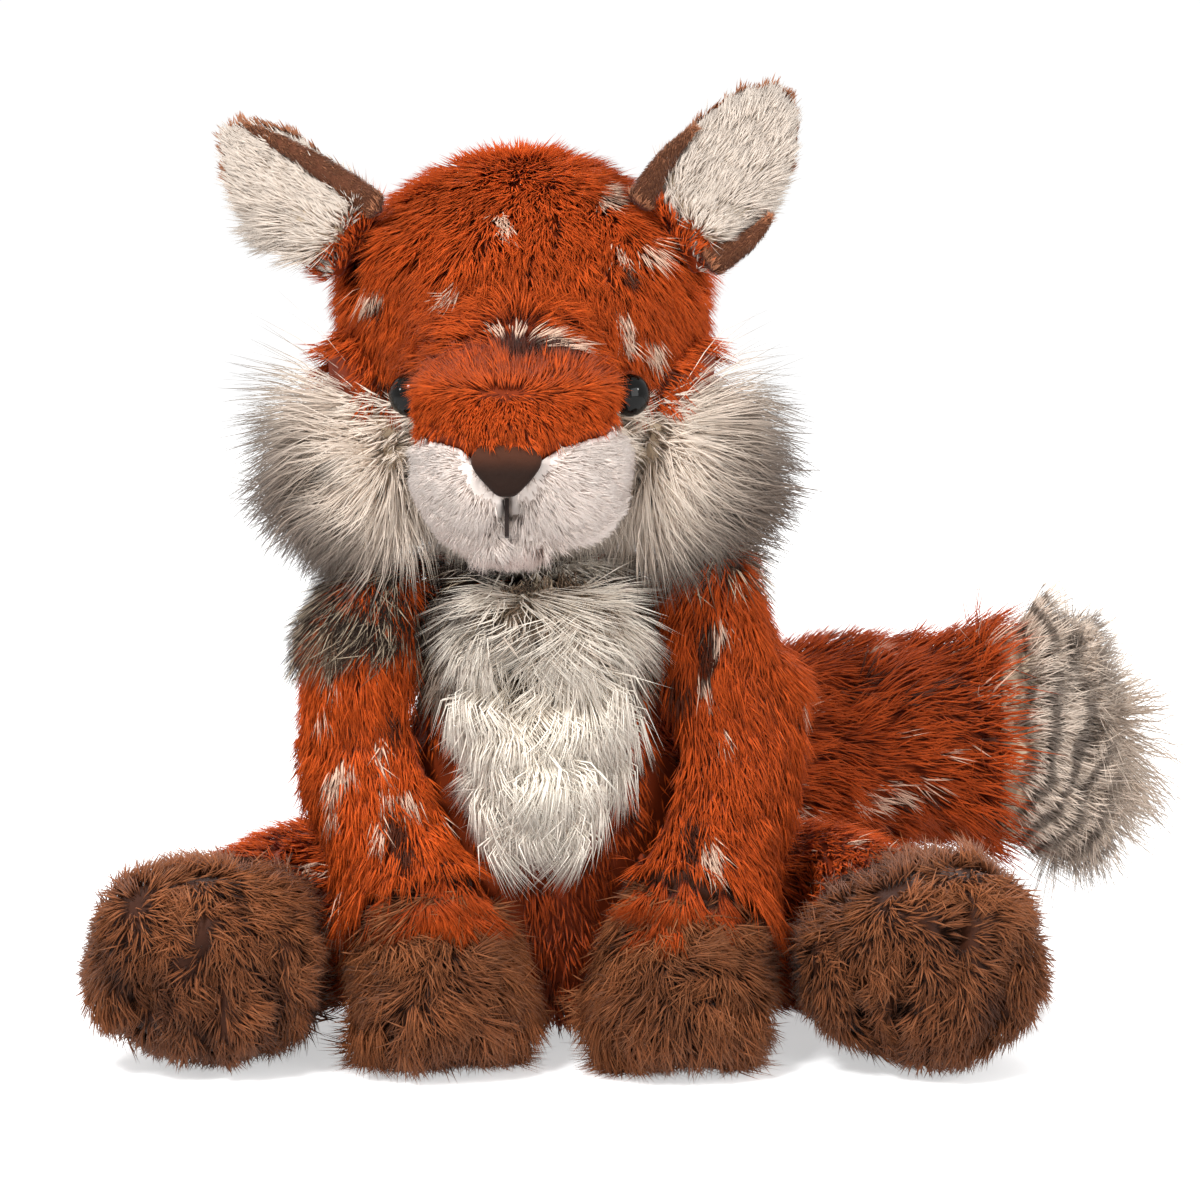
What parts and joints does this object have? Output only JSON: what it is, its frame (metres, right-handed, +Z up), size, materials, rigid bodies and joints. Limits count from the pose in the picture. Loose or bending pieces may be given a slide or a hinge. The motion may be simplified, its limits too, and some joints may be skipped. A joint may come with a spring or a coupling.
{
  "type": "plush fox",
  "caption": "Seated stuffed fox toy with long-pile ruffs, bib and banded tail; head, ears, arms, legs and tail move at their sewn seams.",
  "frame": {"origin": "middle of the torso's flat seat, on the surface the toy sits on", "axes": "+Z up, -Y the way the fox faces, +X towards the fox's own left, where the tail lies; +X is the longest extent"},
  "size_m": [0.3267, 0.2018, 0.2877],
  "materials": {
    "rust_pile": "rust orange faux fur, pile 8 to 12 mm",
    "ivory_long_pile": "ivory shaggy faux fur, pile 25 to 35 mm",
    "taupe_long_pile": "grey-brown long faux fur with dark tips",
    "cream_long_pile": "cream long faux fur with taupe tips, pile 35 to 50 mm",
    "cream_short_pile": "cream faux fur, pile 8 to 12 mm",
    "white_short_pile": "white short pile, 3 to 4 mm",
    "pink_short_pile": "pinkish grey short pile",
    "nose_velvet": "dark brown velvet",
    "dark_thread": "dark sewing thread",
    "eye_gloss": "glossy black plastic",
    "washer_plastic": "white plastic",
    "ear_brown_pile": "brown short faux fur, pile about 4 mm",
    "brown_shaggy_pile": "brown shaggy faux fur, pile 12 to 15 mm",
    "banded_long_pile": "cream and grey long faux fur with dark bands, pile 35 to 45 mm"
  },
  "bodies": {
    "torso": {"torso": "rust_pile", "chest_bib": "ivory_long_pile", "throat_ruff": "taupe_long_pile"},
    "neck": {"neck": "rust_pile"},
    "head": {"head": "rust_pile", "snout_bridge": "rust_pile", "muzzle_left": "white_short_pile", "muzzle_right": "white_short_pile", "chin": "pink_short_pile", "nose": "nose_velvet", "mouth_stitch": "dark_thread", "eye_left": "eye_gloss", "eye_right": "eye_gloss", "eye_washer_left": "washer_plastic", "eye_washer_right": "washer_plastic", "cheek_ruff_left": "cream_long_pile", "cheek_ruff_right": "cream_long_pile"},
    "ear_left": {"ear_back_left": "ear_brown_pile", "ear_lining_left": "cream_short_pile"},
    "ear_right": {"ear_back_right": "ear_brown_pile", "ear_lining_right": "cream_short_pile"},
    "arm_left": {"arm_left": "rust_pile", "forepaw_left": "brown_shaggy_pile"},
    "arm_right": {"arm_right": "rust_pile", "forepaw_right": "brown_shaggy_pile"},
    "leg_left": {"leg_left": "rust_pile", "foot_left": "brown_shaggy_pile"},
    "leg_right": {"leg_right": "rust_pile", "foot_right": "brown_shaggy_pile"},
    "tail": {"tail": "rust_pile", "tail_tip": "banded_long_pile"}
  },
  "joints": [
    {"name": "neck_turn", "type": "hinge", "parent": "torso", "child": "neck", "pos_m": [-0.0095, -0.002, 0.146], "axis": [0, 0, 1], "range_deg": [-30, 30], "stiffness_Nm_per_rad": 0.25},
    {"name": "head_nod", "type": "hinge", "parent": "neck", "child": "head", "pos_m": [-0.0095, -0.002, 0.166], "axis": [1, 0, 0], "range_deg": [-10, 5], "stiffness_Nm_per_rad": 2},
    {"name": "ear_fold_left", "type": "hinge", "parent": "head", "child": "ear_left", "pos_m": [0.0421, -0.0225, 0.2424], "axis": [-0.4695, 0, 0.8829], "range_deg": [-20, 20], "stiffness_Nm_per_rad": 0.06},
    {"name": "ear_fold_right", "type": "hinge", "parent": "head", "child": "ear_right", "pos_m": [-0.0611, -0.0225, 0.2424], "axis": [0.4695, 0, 0.8829], "range_deg": [-20, 20], "stiffness_Nm_per_rad": 0.06},
    {"name": "arm_swing_left", "type": "hinge", "parent": "torso", "child": "arm_left", "pos_m": [0.05, -0.008, 0.113], "axis": [-1, 0, 0], "range_deg": [0, 60], "stiffness_Nm_per_rad": 0.5},
    {"name": "arm_swing_right", "type": "hinge", "parent": "torso", "child": "arm_right", "pos_m": [-0.05, -0.008, 0.113], "axis": [-1, 0, 0], "range_deg": [0, 60], "stiffness_Nm_per_rad": 0.5},
    {"name": "leg_swing_left", "type": "hinge", "parent": "torso", "child": "leg_left", "pos_m": [0.052, 0.004, 0.031], "axis": [-1, 0, 0], "range_deg": [-30, 10], "stiffness_Nm_per_rad": 0.5},
    {"name": "leg_swing_right", "type": "hinge", "parent": "torso", "child": "leg_right", "pos_m": [-0.052, 0.004, 0.031], "axis": [-1, 0, 0], "range_deg": [-30, 10], "stiffness_Nm_per_rad": 0.5},
    {"name": "tail_swing", "type": "hinge", "parent": "torso", "child": "tail", "pos_m": [0.012, 0.0462, 0.06], "axis": [0, 0, 1], "range_deg": [0, 60], "stiffness_Nm_per_rad": 0.2}
  ]
}
